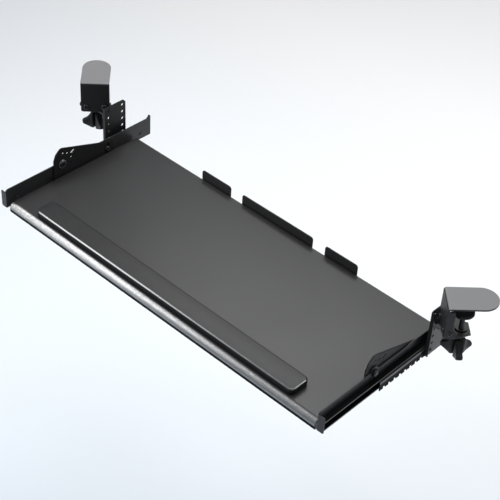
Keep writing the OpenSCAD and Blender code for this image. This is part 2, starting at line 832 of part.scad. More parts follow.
// The threaded bush: its head on the jaw, its body down through the arm's ring
module swivel_bush() {
    seat = jaw_z0 + jaw_t + fit_gap;
    low = arm_z0 - face_gap - bush_nut_t;
    color(plated) at_screw() difference() {
        union() {
            translate([0, 0, low]) cylinder(h = seat - low + eps, r = bush_r);
            translate([0, 0, seat]) cylinder(h = bush_head_t, r = bush_head_r);
        }
        translate([0, 0, low - 1]) cylinder(h = 20, r = screw_r + fit_gap);
    }
}

module left_swivel_bush() { sided(true) swivel_bush(); }
module right_swivel_bush() { sided(false) swivel_bush(); }

module swivel_nut() {
    color(plated) at_screw() translate([0, 0, arm_z0 - face_gap - bush_nut_t]) difference() {
        cylinder(h = bush_nut_t, r = bush_nut_r, $fn = 6);
        translate([0, 0, -1]) cylinder(h = bush_nut_t + 2, r = bush_r + fit_gap);
    }
}

module left_swivel_nut() { sided(true) swivel_nut(); }
module right_swivel_nut() { sided(false) swivel_nut(); }

pad_z0 = desk_under - pad_open - pad_t - pad_rubber_t;
pad_bore = 1.6;
screw_top = pad_z0 + pad_bore - fit_gap;
screw_bottom = knob_top - knob_h + 8;

module clamp_screw() {
    color(plated) at_screw() translate([0, 0, screw_bottom])
        cylinder(h = screw_top - screw_bottom, r = screw_r);
}

module left_clamp_screw() { sided(true) clamp_screw(); }
module right_clamp_screw() { sided(false) clamp_screw(); }

// A three-armed hand knob: a turned profile cut to three arms with hollow flanks
module clamp_knob() {
    z0 = knob_top - knob_h;
    tip = z0 + knob_tip_up;
    color(plastic) at_screw() difference() {
        intersection() {
            rotate_extrude($fn = 96) polygon([[0, z0], [knob_hub, z0], [knob_r - 2, tip], [knob_r, tip + 2],
                [knob_r, tip + knob_tip_t - 1], [knob_r - 1, tip + knob_tip_t],
                [knob_r - 8, tip + knob_tip_t + 2],
                [knob_hub + 5, tip + knob_tip_t + 7], [knob_hub + 1, knob_top - 4], [knob_hub, knob_top],
                [0, knob_top]]);
            translate([0, 0, z0 - 1]) linear_extrude(knob_h + 2) difference() {
                circle(knob_r + 1, $fn = 96);
                for (a = [60, 180, 300])
                    rotate(a) translate([knob_hub + knob_bite, 0]) circle(knob_bite, $fn = 96);
            }
        }
        translate([0, 0, screw_bottom - fit_gap]) cylinder(h = knob_h, r = screw_r + fit_gap);
    }
}

module left_clamp_knob() { sided(true) clamp_knob(); }
module right_clamp_knob() { sided(false) clamp_knob(); }

module clamp_pad() {
    color(plated) at_screw() difference() {
        translate([0, 0, pad_z0]) cylinder(h = pad_t, r = pad_r);
        translate([0, 0, pad_z0 - 1]) cylinder(h = 1 + pad_bore, r = screw_r + run_gap);
    }
}

module left_clamp_pad() { sided(true) clamp_pad(); }
module right_clamp_pad() { sided(false) clamp_pad(); }

module pad_rubber() {
    color(rubber) at_screw() translate([0, 0, pad_z0 + pad_t]) cylinder(h = pad_rubber_t, r = pad_r - 0.5);
}

module left_pad_rubber() { sided(true) pad_rubber(); }
module right_pad_rubber() { sided(false) pad_rubber(); }

board();
wrist_rest();
stop_left();
stop_middle();
stop_right();
stop_screws();
left_tilt_bracket();
right_tilt_bracket();
tilt_bracket_screws();
left_side_wall();
right_side_wall();
left_pivot_bolt();
right_pivot_bolt();
pivot_nuts();
lock_bolts();
left_slide_channel();
right_slide_channel();
channel_rivets();
left_ball_cage();
right_ball_cage();
slide_balls();
left_fixed_rail();
right_fixed_rail();
rail_bolts();
left_rail_bracket();
right_rail_bracket();
left_hanger_plate();
right_hanger_plate();
left_swivel_arm();
right_swivel_arm();
left_clamp_bracket();
right_clamp_bracket();
left_lower_jaw();
right_lower_jaw();
left_jaw_bolts();
right_jaw_bolts();
left_swivel_bush();
right_swivel_bush();
left_swivel_nut();
right_swivel_nut();
left_clamp_screw();
right_clamp_screw();
left_clamp_knob();
right_clamp_knob();
left_clamp_pad();
right_clamp_pad();
left_pad_rubber();
right_pad_rubber();
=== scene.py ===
"""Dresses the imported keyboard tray: board, padded wrist rest, sheet metal, slides, clamps and fixings."""
import json
import math
from collections import namedtuple

import bmesh
import bpy
from mathutils import Matrix, Vector


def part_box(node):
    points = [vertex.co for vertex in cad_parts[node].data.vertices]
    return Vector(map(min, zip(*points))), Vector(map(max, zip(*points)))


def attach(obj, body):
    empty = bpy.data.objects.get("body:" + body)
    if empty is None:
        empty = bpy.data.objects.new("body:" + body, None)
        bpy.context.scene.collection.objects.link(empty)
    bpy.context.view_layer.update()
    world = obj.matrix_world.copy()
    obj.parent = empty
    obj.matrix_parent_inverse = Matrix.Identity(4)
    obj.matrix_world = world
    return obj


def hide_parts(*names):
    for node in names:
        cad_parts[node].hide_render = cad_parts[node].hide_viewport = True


bl_info = {
    "name": "Keyboard Tray",
    "version": (1, 0, 0),
    "blender": (4, 5, 0),
    "location": "3D View > Sidebar > Keyboard Tray",
    "description": "Builds the visible pieces of a clamp-on keyboard tray around its packed frame",
    "category": "Object",
}

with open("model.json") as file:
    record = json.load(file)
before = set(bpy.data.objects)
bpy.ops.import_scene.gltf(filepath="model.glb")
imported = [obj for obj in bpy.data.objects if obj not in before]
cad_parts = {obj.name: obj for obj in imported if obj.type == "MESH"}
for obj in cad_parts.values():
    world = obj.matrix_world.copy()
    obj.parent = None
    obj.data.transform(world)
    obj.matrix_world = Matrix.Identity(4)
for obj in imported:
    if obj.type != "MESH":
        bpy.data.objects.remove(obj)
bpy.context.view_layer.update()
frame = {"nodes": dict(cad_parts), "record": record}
NODES = frame["nodes"]
BODY_OF = {n: body for body, names in frame["record"]["behaviour"]["bodies"].items() for n in names}
MM = 0.001
SIDES = (("left", -1), ("right", 1))


# Mesh helpers

def mesh_from(name, verts, faces):
    mesh = bpy.data.meshes.new(name)
    mesh.from_pydata([tuple(v) for v in verts], [], faces)
    mesh.validate()
    for poly in mesh.polygons:
        poly.use_smooth = True
    return mesh


def in_scene(name, data):
    """A new object of the scene, at the origin, that shows a mesh, a lamp or a camera."""
    made = bpy.data.objects.new(name, data)
    bpy.context.scene.collection.objects.link(made)
    return made


def finish_piece(name, mesh, node, material):
    """Puts a finished mesh in the scene as a piece that stands for a CAD node."""
    piece = in_scene(name, mesh)
    mesh.materials.clear()
    mesh.materials.append(material)
    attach(piece, BODY_OF[node])
    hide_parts(node)
    return piece


def baked(source):
    """A plain mesh of an object with its modifiers applied; the object itself is removed."""
    graph = bpy.context.evaluated_depsgraph_get()
    mesh = bpy.data.meshes.new_from_object(source.evaluated_get(graph), depsgraph=graph)
    bpy.data.objects.remove(source)
    return mesh


def work_object(mesh):
    return in_scene(mesh.name + "_work", mesh)


def level_shaded(work):
    """The baked mesh of a work object, with its large flat faces shaded flat up to their rounded edges."""
    flat = work.modifiers.new("Flat faces", "WEIGHTED_NORMAL")
    flat.mode = "FACE_AREA"
    flat.weight = 100
    flat.keep_sharp = True
    return baked(work)


def set_sharp(mesh, degrees):
    mesh.set_sharp_from_angle(angle=math.radians(degrees))


def eased_sheet(name, node, width, material, segments=2):
    """A copy of a sheet part with its coplanar triangles joined and its edges rounded over."""
    same_point, same_plane, corner = 2e-6, math.radians(0.5), math.radians(32)
    bm = bmesh.new()
    bm.from_mesh(NODES[node].data)
    bmesh.ops.remove_doubles(bm, verts=bm.verts, dist=same_point)
    bmesh.ops.dissolve_limit(bm, angle_limit=same_plane, verts=bm.verts, edges=bm.edges)
    mesh = bpy.data.meshes.new(name)
    bm.to_mesh(mesh)
    bm.free()
    for poly in mesh.polygons:
        poly.use_smooth = True
    work = work_object(mesh)
    bevel = work.modifiers.new("Edges", "BEVEL")
    bevel.limit_method = "ANGLE"
    bevel.angle_limit = corner
    bevel.width = width
    bevel.segments = segments
    bevel.use_clamp_overlap = False
    return finish_piece(name, level_shaded(work), node, material)


def second_finish(piece, material, belongs, cut_z=None):
    """Gives the faces picked by belongs(face) a further material, after a level cut at cut_z."""
    mesh = piece.data
    if cut_z is not None:
        bm = bmesh.new()
        bm.from_mesh(mesh)
        bmesh.ops.bisect_plane(bm, geom=bm.verts[:] + bm.edges[:] + bm.faces[:], dist=1e-7,
                               plane_co=(0, 0, cut_z), plane_no=(0, 0, 1))
        bm.to_mesh(mesh)
        bm.free()
    mesh.materials.append(material)
    index = len(mesh.materials) - 1
    for poly in mesh.polygons:
        if belongs(poly):
            poly.material_index = index


def ring_faces(rows, count, closed=False):
    """Faces between rows of count points, with both ends filled, or closed from the last row to the first."""
    faces = []
    for row in range(rows if closed else rows - 1):
        a, b = row*count, ((row + 1) % rows)*count
        faces += [(a + i, a + (i + 1) % count, b + (i + 1) % count, b + i) for i in range(count)]
    if not closed:
        faces += [tuple(range(count - 1, -1, -1)), tuple(range((rows - 1)*count, rows*count))]
    return faces


def ring_solid(rings, count=36, closed=False):
    """Verts and faces of a solid about +Z, from rings of (radius, height, round or hex)."""
    verts = []
    for r, z, shape in rings:
        for i in range(count):
            a = 2*math.pi*i/count
            k = math.cos(math.pi/6)/math.cos((a % (math.pi/3)) - math.pi/6) if shape == "hex" else 1.0
            verts.append((r*k*math.cos(a), r*k*math.sin(a), z))
    return verts, ring_faces(len(rings), count, closed)


def dome(radius, height, socket, depth):
    """A button head standing on z = 0, with a hexagonal socket."""
    foot, fall, rim = 0.12, 1.6, socket*1.35
    rings = [(radius*0.96, 0.0, "round"), (radius, height*foot, "round")]
    for t in (0.2, 0.4, 0.6, 0.8, 1.0):
        up = foot + (1 - foot)*math.sin(t*math.pi/2)
        rings.append((radius - (radius - rim)*t**fall, height*up, "round"))
    rings += [(socket*1.12, height*0.99, "hex"), (socket, height*0.92, "hex"),
              (socket*0.98, height - depth, "hex"), (socket*0.4, height - depth - socket*0.15, "round")]
    return ring_solid(rings)


def hex_nut(radius, height, bore):
    """A chamfered hexagonal nut with a raised collar, closed round its bore."""
    flat = radius*0.86
    rings = [(bore, 0, "round"), (flat, 0, "round"), (radius, height*0.1, "hex"),
             (radius, height*0.66, "hex"), (flat, height*0.76, "round"), (radius*0.78, height*0.8, "round"),
             (radius*0.74, height*0.97, "round"), (radius*0.68, height, "round"),
             (bore*1.12, height*0.97, "round"), (bore, height*0.9, "round")]
    return ring_solid(rings, closed=True)


def washer(radius, height, bore):
    """A flat ring with eased outer edges."""
    ease = height*0.25
    rings = [(bore, 0, "round"), (radius - ease, 0, "round"), (radius, ease, "round"),
             (radius, height - ease, "round"), (radius - ease, height, "round"), (bore, height, "round")]
    return ring_solid(rings, closed=True)


def merged(parts):
    """Verts and faces of several solids, each moved along Z."""
    verts, faces = [], []
    for (v, f), dz in parts:
        base = len(verts)
        verts += [(x, y, z + dz) for x, y, z in v]
        faces += [tuple(i + base for i in face) for face in f]
    return verts, faces


def rod(radius, z0, z1, chamfer=0.0):
    """A round bar from z0 to z1, with its ends chamfered or left sharp."""
    if not chamfer:
        return ring_solid([(radius, z0, "round"), (radius, z1, "round")])
    end = radius - chamfer
    return ring_solid([(end, z0, "round"), (radius, z0 + chamfer, "round"), (radius, z1 - chamfer, "round"),
                       (end, z1, "round")])


# radius and height of the head, radius and depth of its socket, radius and length of the shank
Bolt = namedtuple("Bolt", "head height socket depth shank length")


def bolt_solid(bolt, lift=0.0, overlap=0.0002, chamfer=0.0):
    """A button head on z = lift, and its shank from z = -length up into the head by the overlap."""
    return merged(((dome(bolt.head, bolt.height, bolt.socket, bolt.depth), lift),
                   (rod(bolt.shank, -bolt.length, lift + overlap, chamfer), 0)))


# Geometry Nodes trees

def named_socket(tree, name, kind, way="INPUT", value=None):
    socket = tree.interface.new_socket(name, in_out=way, socket_type=kind)
    if value is not None:
        socket.default_value = value
    return socket


def fixing_tree():
    """Sets one fixing on every point, turned to the point's aim."""
    tree = bpy.data.node_groups.new("Fixings On Points", "GeometryNodeTree")
    named_socket(tree, "Points", "NodeSocketGeometry")
    named_socket(tree, "Fixing", "NodeSocketObject")
    named_socket(tree, "Size", "NodeSocketFloat", value=1.0)
    named_socket(tree, "Finish", "NodeSocketMaterial")
    named_socket(tree, "Geometry", "NodeSocketGeometry", "OUTPUT")
    new, link = tree.nodes.new, tree.links.new
    start, end = new("NodeGroupInput"), new("NodeGroupOutput")
    info = new("GeometryNodeObjectInfo")
    aim = new("GeometryNodeInputNamedAttribute")
    aim.data_type = "FLOAT_VECTOR"
    aim.inputs["Name"].default_value = "aim"
    turn = new("FunctionNodeAlignRotationToVector")
    turn.axis = "Z"
    place = new("GeometryNodeInstanceOnPoints")
    real, paint = new("GeometryNodeRealizeInstances"), new("GeometryNodeSetMaterial")
    link(start.outputs["Fixing"], info.inputs["Object"])
    link(start.outputs["Points"], place.inputs["Points"])
    link(info.outputs["Geometry"], place.inputs["Instance"])
    link(aim.outputs["Attribute"], turn.inputs["Vector"])
    link(turn.outputs["Rotation"], place.inputs["Rotation"])
    link(start.outputs["Size"], place.inputs["Scale"])
    link(place.outputs["Instances"], real.inputs["Geometry"])
    link(real.outputs["Geometry"], paint.inputs["Geometry"])
    link(start.outputs["Finish"], paint.inputs["Material"])
    link(paint.outputs["Geometry"], end.inputs["Geometry"])
    return tree


def thread_tree():
    """A threaded rod about +Z: a plain core and one ridge wound along it."""
    steps_a_turn, ridge_sides = 28, 4
    tree = bpy.data.node_groups.new("Threaded Rod", "GeometryNodeTree")
    named_socket(tree, "Core", "NodeSocketGeometry")
    for name, value in (("Radius", 0.0039), ("Pitch", 0.0015), ("Length", 0.07), ("Depth", 0.0005)):
        named_socket(tree, name, "NodeSocketFloat", value=value)
    named_socket(tree, "Finish", "NodeSocketMaterial")
    named_socket(tree, "Geometry", "NodeSocketGeometry", "OUTPUT")
    new, link = tree.nodes.new, tree.links.new
    start, end = new("NodeGroupInput"), new("NodeGroupOutput")

    def maths(op, a, b):
        node = new("ShaderNodeMath")
        node.operation = op
        for socket, value in zip(node.inputs, (a, b)):
            if isinstance(value, (int, float)):
                socket.default_value = value
            else:
                link(value, socket)
        return node.outputs[0]

    out = start.outputs
    spiral = new("GeometryNodeCurveSpiral")
    spiral.inputs["Resolution"].default_value = steps_a_turn
    crest = maths("SUBTRACT", out["Radius"], out["Depth"])
    link(maths("DIVIDE", out["Length"], out["Pitch"]), spiral.inputs["Rotations"])
    link(crest, spiral.inputs["Start Radius"])
    link(crest, spiral.inputs["End Radius"])
    link(out["Length"], spiral.inputs["Height"])
    ridge = new("GeometryNodeCurvePrimitiveCircle")
    ridge.inputs["Resolution"].default_value = ridge_sides
    link(out["Depth"], ridge.inputs["Radius"])
    wind = new("GeometryNodeCurveToMesh")
    wind.inputs["Fill Caps"].default_value = True
    link(spiral.outputs["Curve"], wind.inputs["Curve"])
    link(ridge.outputs["Curve"], wind.inputs["Profile Curve"])
    join, real = new("GeometryNodeJoinGeometry"), new("GeometryNodeRealizeInstances")
    paint = new("GeometryNodeSetMaterial")
    link(out["Core"], join.inputs["Geometry"])
    link(wind.outputs["Mesh"], join.inputs["Geometry"])
    link(join.outputs["Geometry"], real.inputs["Geometry"])
    link(real.outputs["Geometry"], paint.inputs["Geometry"])
    link(out["Finish"], paint.inputs["Material"])
    link(paint.outputs["Geometry"], end.inputs["Geometry"])
    return tree


def tree_named(name, maker):
    return bpy.data.node_groups.get(name) or maker()


def run_tree(tree, mesh, values):
    """Runs a tree on a mesh, with its inputs given by name, and returns the plain mesh."""
    work = work_object(mesh)
    mod = work.modifiers.new("Tree", "NODES")
    mod.node_group = tree
    for item in tree.interface.items_tree:
        if item.in_out == "INPUT" and item.name in values:
            mod[item.identifier] = values[item.name]
    return baked(work)


def fixings(name, node, solid, places, material, smooth_angle=35):
    """One mesh of like fixings for one node: places are (point, aim) in metres."""
    template = work_object(mesh_from(name + "_one", *solid))
    points = bpy.data.meshes.new(name)
    points.from_pydata([p for p, _ in places], [], [])
    aims = points.attributes.new("aim", "FLOAT_VECTOR", "POINT")
    aims.data.foreach_set("vector", [c for _, aim in places for c in aim])
    mesh = run_tree(tree_named("Fixings On Points", fixing_tree), points,
                    {"Fixing": template, "Size": 1.0, "Finish": material})
    bpy.data.objects.remove(template)
    if "aim" in mesh.attributes:
        mesh.attributes.remove(mesh.attributes["aim"])
    set_sharp(mesh, smooth_angle)
    return finish_piece(name, mesh, node, material)


# Shader groups and materials

# a Mix node's two values and its result, by number, as their names repeat
NUMBER_A, NUMBER_B, NUMBER_OUT = 2, 3, 0
COLOUR_A, COLOUR_B, COLOUR_OUT = 6, 7, 2


def shader_group(name, inputs, outputs):
    group = bpy.data.node_groups.new(name, "ShaderNodeTree")
    for label, value in inputs:
        group.interface.new_socket(label, in_out="INPUT", socket_type="NodeSocketFloat").default_value = value
    for label in outputs:
        group.interface.new_socket(label, in_out="OUTPUT", socket_type="NodeSocketFloat")
    return group, group.nodes.new("NodeGroupInput"), group.nodes.new("NodeGroupOutput")


def pebble_group():
    """Raised pebbles and pores of a moulded or wrapped skin, on the piece's own coordinates."""
    fine_ratio, fine_share, fine_detail, blotch_scale = 1.9, 0.45, 3.0, 9.0
    inputs = (("Scale", 900.0), ("Softness", 0.6))
    group, start, end = shader_group("Pebble Grain", inputs, ("Height", "Tone"))
    new, link = group.nodes.new, group.links.new
    place = new("ShaderNodeTexCoord")
    cells = new("ShaderNodeTexVoronoi")
    cells.feature = "SMOOTH_F1"
    fine = new("ShaderNodeTexNoise")
    fine.inputs["Detail"].default_value = fine_detail
    finer = new("ShaderNodeMath")
    finer.operation = "MULTIPLY"
    finer.inputs[1].default_value = fine_ratio
    mix = new("ShaderNodeMix")
    mix.inputs["Factor"].default_value = fine_share
    blotch = new("ShaderNodeTexNoise")
    blotch.inputs["Scale"].default_value = blotch_scale
    for texture in (cells, fine, blotch):
        link(place.outputs["Object"], texture.inputs["Vector"])
    link(start.outputs["Scale"], cells.inputs["Scale"])
    link(start.outputs["Softness"], cells.inputs["Smoothness"])
    link(start.outputs["Scale"], finer.inputs[0])
    link(finer.outputs[0], fine.inputs["Scale"])
    link(cells.outputs["Distance"], mix.inputs[NUMBER_A])
    link(fine.outputs["Fac"], mix.inputs[NUMBER_B])
    link(mix.outputs[NUMBER_OUT], end.inputs["Height"])
    link(blotch.outputs["Fac"], end.inputs["Tone"])
    return group


def coat_group():
    """Orange peel of sprayed powder, with faint cloudy handling marks."""
    peel_detail, peel_rough, cloud_detail = 4.0, 0.62, 5.0
    group, start, end = shader_group("Powder Coat", (("Scale", 700.0), ("Marks", 14.0)), ("Height", "Tone"))
    new, link = group.nodes.new, group.links.new
    place = new("ShaderNodeTexCoord")
    peel, cloud = new("ShaderNodeTexNoise"), new("ShaderNodeTexNoise")
    peel.inputs["Detail"].default_value = peel_detail
    peel.inputs["Roughness"].default_value = peel_rough
    cloud.inputs["Detail"].default_value = cloud_detail
    for noise, source in ((peel, "Scale"), (cloud, "Marks")):
        link(place.outputs["Object"], noise.inputs["Vector"])
        link(start.outputs[source], noise.inputs["Scale"])
    link(peel.outputs["Fac"], end.inputs["Height"])
    link(cloud.outputs["Fac"], end.inputs["Tone"])
    return group


def drawn_group():
    """Fine lines along Y, as on rolled and drawn steel."""
    along_y = (1.0, 0.03, 1.0)
    group, start, end = shader_group("Drawn Lines", (("Scale", 1600.0), ("Marks", 30.0)), ("Height", "Tone"))
    new, link = group.nodes.new, group.links.new
    place, stretch = new("ShaderNodeTexCoord"), new("ShaderNodeMapping")
    stretch.inputs["Scale"].default_value = along_y
    lines, cloud = new("ShaderNodeTexNoise"), new("ShaderNodeTexNoise")
    link(place.outputs["Object"], stretch.inputs["Vector"])
    link(stretch.outputs["Vector"], lines.inputs["Vector"])
    link(place.outputs["Object"], cloud.inputs["Vector"])
    link(start.outputs["Scale"], lines.inputs["Scale"])
    link(start.outputs["Marks"], cloud.inputs["Scale"])
    link(lines.outputs["Fac"], end.inputs["Height"])
    link(cloud.outputs["Fac"], end.inputs["Tone"])
    return group


GROUPS = {"Pebble Grain": pebble_group, "Powder Coat": coat_group, "Drawn Lines": drawn_group}
# rough is the lowest and highest roughness, and bump_mm the depth of the grain; a pair of coat weights is for
# the low and the high places of the grain
Finish = namedtuple(
    "Finish", "grain scale second colour spread rough bump bump_mm metal specular coat coat_rough coat_ior",
    defaults=(0.0, 0.5, 0.0, 0.3, 1.5))
FINISHES = {
    "board_vinyl": Finish("Pebble Grain", 620, 0.5, "board", 0.10, (0.345, 0.375), 0.5, 0.10),
    # the front edge: a glossier vinyl, with a colour lighter than the board's that is a painted highlight
    "nose_vinyl": Finish("Pebble Grain", 330, 0.25, "nose", 0.10, (0.36, 0.40), 0.7, 0.30,
                         coat=(1.0, 0.5), coat_rough=0.26, coat_ior=3.1),
    "rest_skin": Finish("Pebble Grain", 620, 0.5, "board", 0.10, (0.345, 0.375), 0.5, 0.10, specular=0.36),
    "rest_edge": Finish("Pebble Grain", 620, 0.5, "board", 0.14, (0.34, 0.42), 0.25, 0.08,
                        coat=1.0, coat_rough=0.20, coat_ior=2.1),
    # the rest's sides and its rear and left rounding: dark as painted shade
    "rest_side": Finish("Pebble Grain", 560, 0.5, "rest", 0.16, (0.46, 0.56), 0.5, 0.16, specular=0.12),
    # near-black as painted shade: the slide channels, the rails' toothed lower part and the strip under the
    # front edge
    "dull_black": Finish("Powder Coat", 900, 20, "recess", 0.20, (0.50, 0.60), 0.2, 0.06, specular=0.05),
    "black_steel": Finish("Powder Coat", 750, 11, "steel", 0.22, (0.38, 0.48), 0.30, 0.08,
                          specular=0.42, coat=0.05),
    "inner_steel": Finish("Powder Coat", 750, 11, "steel", 0.22, (0.42, 0.52), 0.30, 0.08, specular=0.22),
    # lighter than the other powder coat as painted light, where the rail brackets and the channels' lips
    # stand lit
    "bracket_steel": Finish("Powder Coat", 750, 11, "bracket", 0.16, (0.38, 0.48), 0.30, 0.08, coat=0.05),
    # the tongues' upper faces: lighter than the black steel as painted light on the top
    "tongue_coat": Finish("Powder Coat", 900, 8, "tongue", 0.07, (0.46, 0.56), 0.16, 0.05),
    "black_bolt": Finish("Powder Coat", 1400, 60, "bolt", 0.3, (0.24, 0.34), 0.12, 0.03, metal=0.8),
    "bright_bolt": Finish("Powder Coat", 1400, 60, "zinc", 0.2, (0.20, 0.30), 0.10, 0.02, metal=0.95),
    "zinc_steel": Finish("Drawn Lines", 1700, 40, "rail", 0.16, (0.30, 0.42), 0.14, 0.03, metal=0.7),
    "knob_plastic": Finish("Pebble Grain", 1500, 0.8, "knob", 0.12, (0.40, 0.50), 0.22, 0.06, specular=0.28),
    "pad_rubber": Finish("Pebble Grain", 1700, 0.6, "rubber", 0.15, (0.72, 0.84), 0.3, 0.08, specular=0.35),
}
# the usual lowest and highest values of a grain's tone and height
TONE_REACH = (0.3, 0.7)
GRAIN_REACH = (0.32, 0.50)


def ramp(tree, source, reach, result):
    """Carries a source from its usual reach to the two values of a result."""
    node = tree.nodes.new("ShaderNodeMapRange")
    node.inputs["From Min"].default_value, node.inputs["From Max"].default_value = reach
    node.inputs["To Min"].default_value, node.inputs["To Max"].default_value = result
    tree.links.new(source, node.inputs["Value"])
    return node.outputs["Result"]


def finish(name):
    """The material of one finish, built on first use from its row in FINISHES."""
    found = bpy.data.materials.get("tray_" + name)
    if found:
        return found
    row = FINISHES[name]
    base = getattr(bpy.context.scene.tray_colours, row.colour)
    material = bpy.data.materials.new("tray_" + name)
    material.use_nodes = True
    tree = material.node_tree
    new, link = tree.nodes.new, tree.links.new
    shader = tree.nodes["Principled BSDF"]
    grain = new("ShaderNodeGroup")
    grain.node_tree = tree_named(row.grain, GROUPS[row.grain])
    for socket, value in zip(grain.inputs, (row.scale, row.second)):
        socket.default_value = value
    tone = new("ShaderNodeMix")
    tone.data_type = "RGBA"
    tone.inputs[COLOUR_A].default_value = (*[c*(1 - row.spread) for c in base], 1)
    tone.inputs[COLOUR_B].default_value = (*[c*(1 + row.spread) for c in base], 1)
    bump = new("ShaderNodeBump")
    bump.inputs["Strength"].default_value = row.bump
    bump.inputs["Distance"].default_value = row.bump_mm*MM
    link(grain.outputs["Tone"], tone.inputs["Factor"])
    link(grain.outputs["Height"], bump.inputs["Height"])
    link(tone.outputs[COLOUR_OUT], shader.inputs["Base Color"])
    link(ramp(tree, grain.outputs["Tone"], TONE_REACH, row.rough), shader.inputs["Roughness"])
    link(bump.outputs["Normal"], shader.inputs["Normal"])
    shader.inputs["Metallic"].default_value = row.metal
    shader.inputs["Specular IOR Level"].default_value = row.specular
    if isinstance(row.coat, tuple):
        link(ramp(tree, grain.outputs["Height"], GRAIN_REACH, row.coat), shader.inputs["Coat Weight"])
    else:
        shader.inputs["Coat Weight"].default_value = row.coat
    shader.inputs["Coat Roughness"].default_value = row.coat_rough
    shader.inputs["Coat IOR"].default_value = row.coat_ior
    return material


# Sizes that a user would change, and the colours

class TrayColours(bpy.types.PropertyGroup):
    def shade(label, text, value):
        return bpy.props.FloatVectorProperty(name=label, description=text, default=value, size=3, min=0.0,
                                             max=1.0, subtype="COLOR")
    board: shade("Board", "Wrapped skin of the board", (0.016, 0.016, 0.0165))
    # the front edge's colour is lighter than the board's skin as a painted highlight
    nose: shade("Front edge", "Smoother skin of the board's rounded front edge", (0.080, 0.080, 0.082))
    # dark as painted shade on the rest's sides and its rear and left rounding
    rest: shade("Wrist rest", "Sides of the wrist rest", (0.009, 0.009, 0.009))
    steel: shade("Steel", "Powder coat of the sheet metal", (0.012, 0.012, 0.013))
    # lighter than the other steel as painted light on the rail brackets and the channels' lips
    bracket: shade("Rail brackets", "Powder coat of the plates that carry the rails", (0.045, 0.045, 0.047))
    # lighter than the steel as painted light falling on the tongues' tops
    tongue: shade("Tongue", "Upper face of the clamps' tongues", (0.165, 0.165, 0.167))
    # near-black, a painted shade for the channels, the rails' lower part and the underside of the front edge
    recess: shade("Recesses", "Blackened channels, rail teeth and the line under the front edge",
                  (0.003, 0.003, 0.003))
    bolt: shade("Bolts", "Blackened bolts and nuts", (0.040, 0.040, 0.042))
    zinc: shade("Bright fixings", "Plated washers and rivets", (0.420, 0.420, 0.430))
    rail: shade("Slides", "Dark plated slides, bushes and clamp screws", (0.070, 0.070, 0.073))
    knob: shade("Knobs", "Moulded knobs", (0.007, 0.007, 0.0075))
    rubber: shade("Rubber", "Faces of the clamp pads", (0.018, 0.018, 0.018))


class TraySizes(bpy.types.PropertyGroup):
    def length(label, text, value, low, high):
        return bpy.props.FloatProperty(name=label, description=text, default=value, min=low, max=high,
                                       precision=5, subtype="DISTANCE", unit="LENGTH")
    sheet_edge: length("Sheet edge", "Rounding of the sheet metal's edges", 0.0003, 0.0001, 0.0006)
    board_edge: length("Board edge", "Rounding of the board's side and rear edges", 0.0010, 0.0003, 0.0020)
    rest_edge: length("Rest edge", "Rounding where the rest's top meets its sides", 0.0026, 0.0015, 0.0050)
    thread_pitch: length("Thread pitch", "Pitch of the clamp screws", 0.0015, 0.0010, 0.0020)
    thread_depth: length("Thread depth", "Depth of the clamp screws' thread", 0.00045, 0.0002, 0.0008)


class TrayOperator:
    bl_options = {"REGISTER", "UNDO"}

    @property
    def sizes(self):
        return bpy.context.scene.tray_sizes


class TRAY_OT_board(TrayOperator, bpy.types.Operator):
    """Makes the board, with its rounded front edge"""
    bl_idname = "tray.board"
    bl_label = "Board"
    # the front rounding: radius, height where its skin ends, and how level or sideways a face may lie
    nose = 0.011
    nose_end = -0.0112
    nose_level = 0.93
    nose_side = 0.5
    nose_steps = 14
    # the smaller rounding under the front, and the other edges
    under = 0.005
    under_steps = 8
    edge_steps = 3
    sharp_angle = 40

    def outline(self, low, high):
        """The board's section round its middle, as points (y, z)."""
        edge = self.sizes.board_edge

        def arc(y, z, r, a0, n):
            turns = [math.radians(a0 + 90*i/n) for i in range(n + 1)]
            return [(y + r*math.cos(a), z + r*math.sin(a)) for a in turns]

        return (arc(high.y - edge, high.z - edge, edge, 0, self.edge_steps)
                + arc(low.y + self.nose, high.z - self.nose, self.nose, 90, self.nose_steps)
                + arc(low.y + self.under, low.z + self.under, self.under, 180, self.under_steps)
                + arc(high.y - edge, low.z + edge, edge, 270, self.edge_steps))

    def execute(self, context):
        low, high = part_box("board")
        edge = self.sizes.board_edge
        outline = self.outline(low, high)
        middle = ((low.y + high.y)/2, (low.z + high.z)/2)
        half = ((high.y - low.y)/2, (high.z - low.z)/2)
        verts, sections = [], []
        for k in range(self.edge_steps, -1, -1):
            a = math.pi/2*k/self.edge_steps
            sections.append((low.x + edge*(1 - math.sin(a)), edge*(1 - math.cos(a))))
        sections += [(-x, inset) for x, inset in reversed(sections)]
        for x, inset in sections:
            for y, z in outline:
                verts.append((x, middle[0] + (y - middle[0])*(1 - inset/half[0]),
                              middle[1] + (z - middle[1])*(1 - inset/half[1])))
        mesh = mesh_from("board_panel", verts, ring_faces(len(sections), len(outline)))
        bm = bmesh.new()
        bm.from_mesh(mesh)
        bmesh.ops.recalc_face_normals(bm, faces=bm.faces)
        bm.to_mesh(mesh)
        bm.free()
        set_sharp(mesh, self.sharp_angle)
        piece = finish_piece("board_panel", level_shaded(work_object(mesh)), "board", finish("board_vinyl"))
        front = low.y + self.nose

        def on_nose(poly):
            return (poly.center.y < front and poly.center.z > self.nose_end
                    and abs(poly.normal.x) < self.nose_side and poly.normal.z < self.nose_level)

        # the rounded front takes the lighter colour, a painted highlight, and a glossier coat
        second_finish(piece, finish("nose_vinyl"), on_nose, self.nose_end)
        # the underside of the front edge is painted near-black, a painted shadow under the rounding
        second_finish(piece, finish("dull_black"),
                      lambda poly: poly.center.z < self.nose_end and poly.center.y < front)
        return {"FINISHED"}


